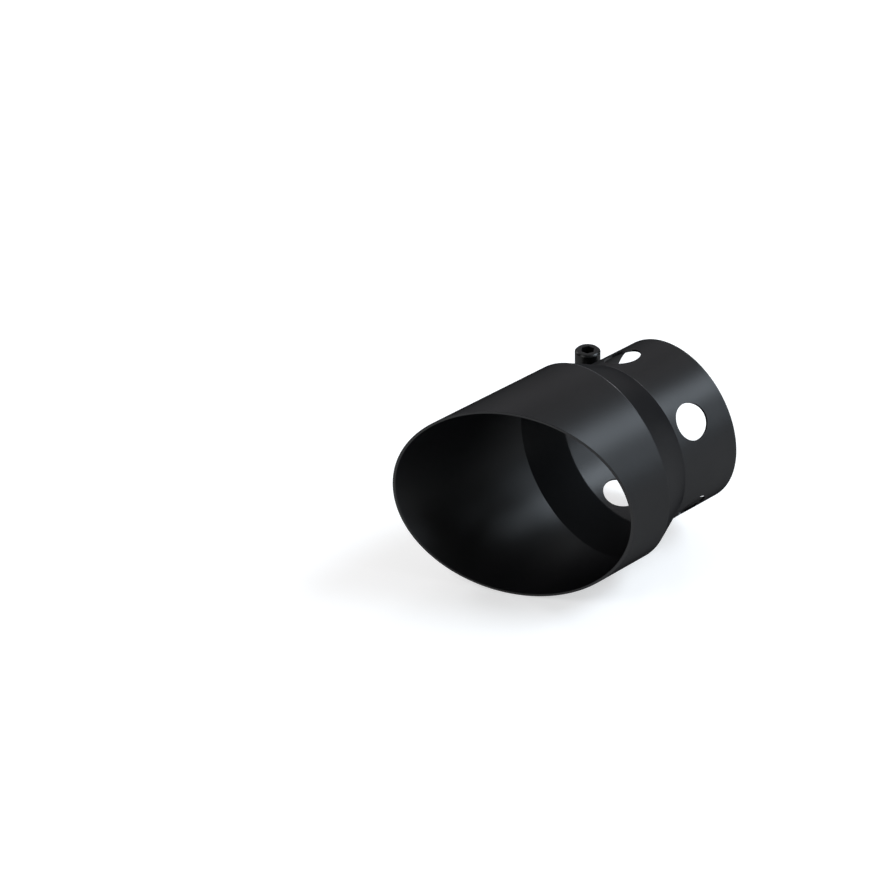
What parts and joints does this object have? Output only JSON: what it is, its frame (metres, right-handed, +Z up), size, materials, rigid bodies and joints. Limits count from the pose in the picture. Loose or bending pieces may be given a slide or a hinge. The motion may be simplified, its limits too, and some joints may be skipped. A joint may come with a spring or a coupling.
{
  "type": "exhaust tip",
  "caption": "Round exhaust tip with a slant-cut mouth, a cone and a slotted, drilled collar that a pinch screw clamps on a tailpipe.",
  "frame": {"origin": "centre of the collar's open end, where the tailpipe enters", "axes": "+Y along the tube's axis, out of the collar; the slanted mouth is towards -Y; +Z up, the way the clamp screw's head points; the slot and the lugs are on the -X side"},
  "size_m": [0.1101, 0.1365, 0.1016],
  "materials": {
    "coated_steel": "satin black heat-proof coating",
    "black_screw": "black oxide"
  },
  "bodies": {
    "root": {"tip_shell": "coated_steel", "upper_lug": "coated_steel", "lower_lug": "coated_steel", "clamp_screw": "black_screw"}
  },
  "joints": []
}
